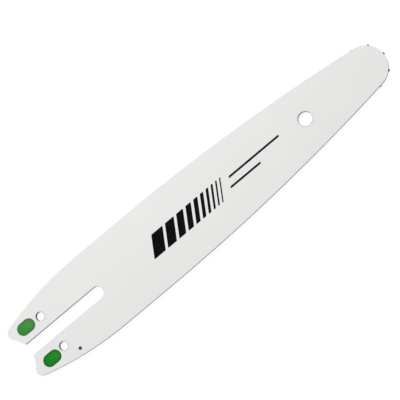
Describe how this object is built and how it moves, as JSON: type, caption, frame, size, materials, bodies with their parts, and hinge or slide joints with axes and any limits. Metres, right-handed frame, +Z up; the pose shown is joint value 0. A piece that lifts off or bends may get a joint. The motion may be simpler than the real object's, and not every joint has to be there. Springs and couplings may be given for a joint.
{
  "type": "chainsaw guide bar",
  "caption": "Flat white laminated guide bar for a chainsaw, with a slotted tail, a chain groove round its edge and a toothed roller-bearing sprocket in the nose.",
  "frame": {"origin": "centre of the bar's overall box, on the face that it lies on", "axes": "+X along the bar to the nose, +Y across it to the side without the near oil hole, +Z up through the printed face"},
  "size_m": [0.29, 0.0524, 0.0034],
  "materials": {
    "white_enamel": "satin white enamel on steel",
    "core_steel": "plain rolled steel",
    "sprocket_steel": "dark hardened steel",
    "bearing_steel": "ground bearing steel",
    "green_ink": "printed green ink",
    "black_ink": "printed black ink"
  },
  "bodies": {
    "bar": {"near_side_plate": "white_enamel", "far_side_plate": "white_enamel", "core_plate": "core_steel", "bearing_race": "bearing_steel", "nose_rivet": "white_enamel", "tail_mark_upper": "green_ink", "tail_mark_lower": "green_ink"},
    "sprocket": {"nose_sprocket": "sprocket_steel"},
    "rollers": {"bearing_rollers": "bearing_steel"}
  },
  "joints": [
    {"name": "sprocket_spin", "type": "hinge", "parent": "bar", "child": "sprocket", "pos_m": [0.1303, 0, 0.0017], "axis": [0, 0, 1], "continuous": true},
    {"name": "roller_orbit", "type": "hinge", "parent": "bar", "child": "rollers", "pos_m": [0.1303, 0, 0.0017], "axis": [0, 0, 1], "continuous": true}
  ],
  "couplings": [
    {"joint": "roller_orbit", "follows": "sprocket_spin", "ratio": 0.58678}
  ]
}
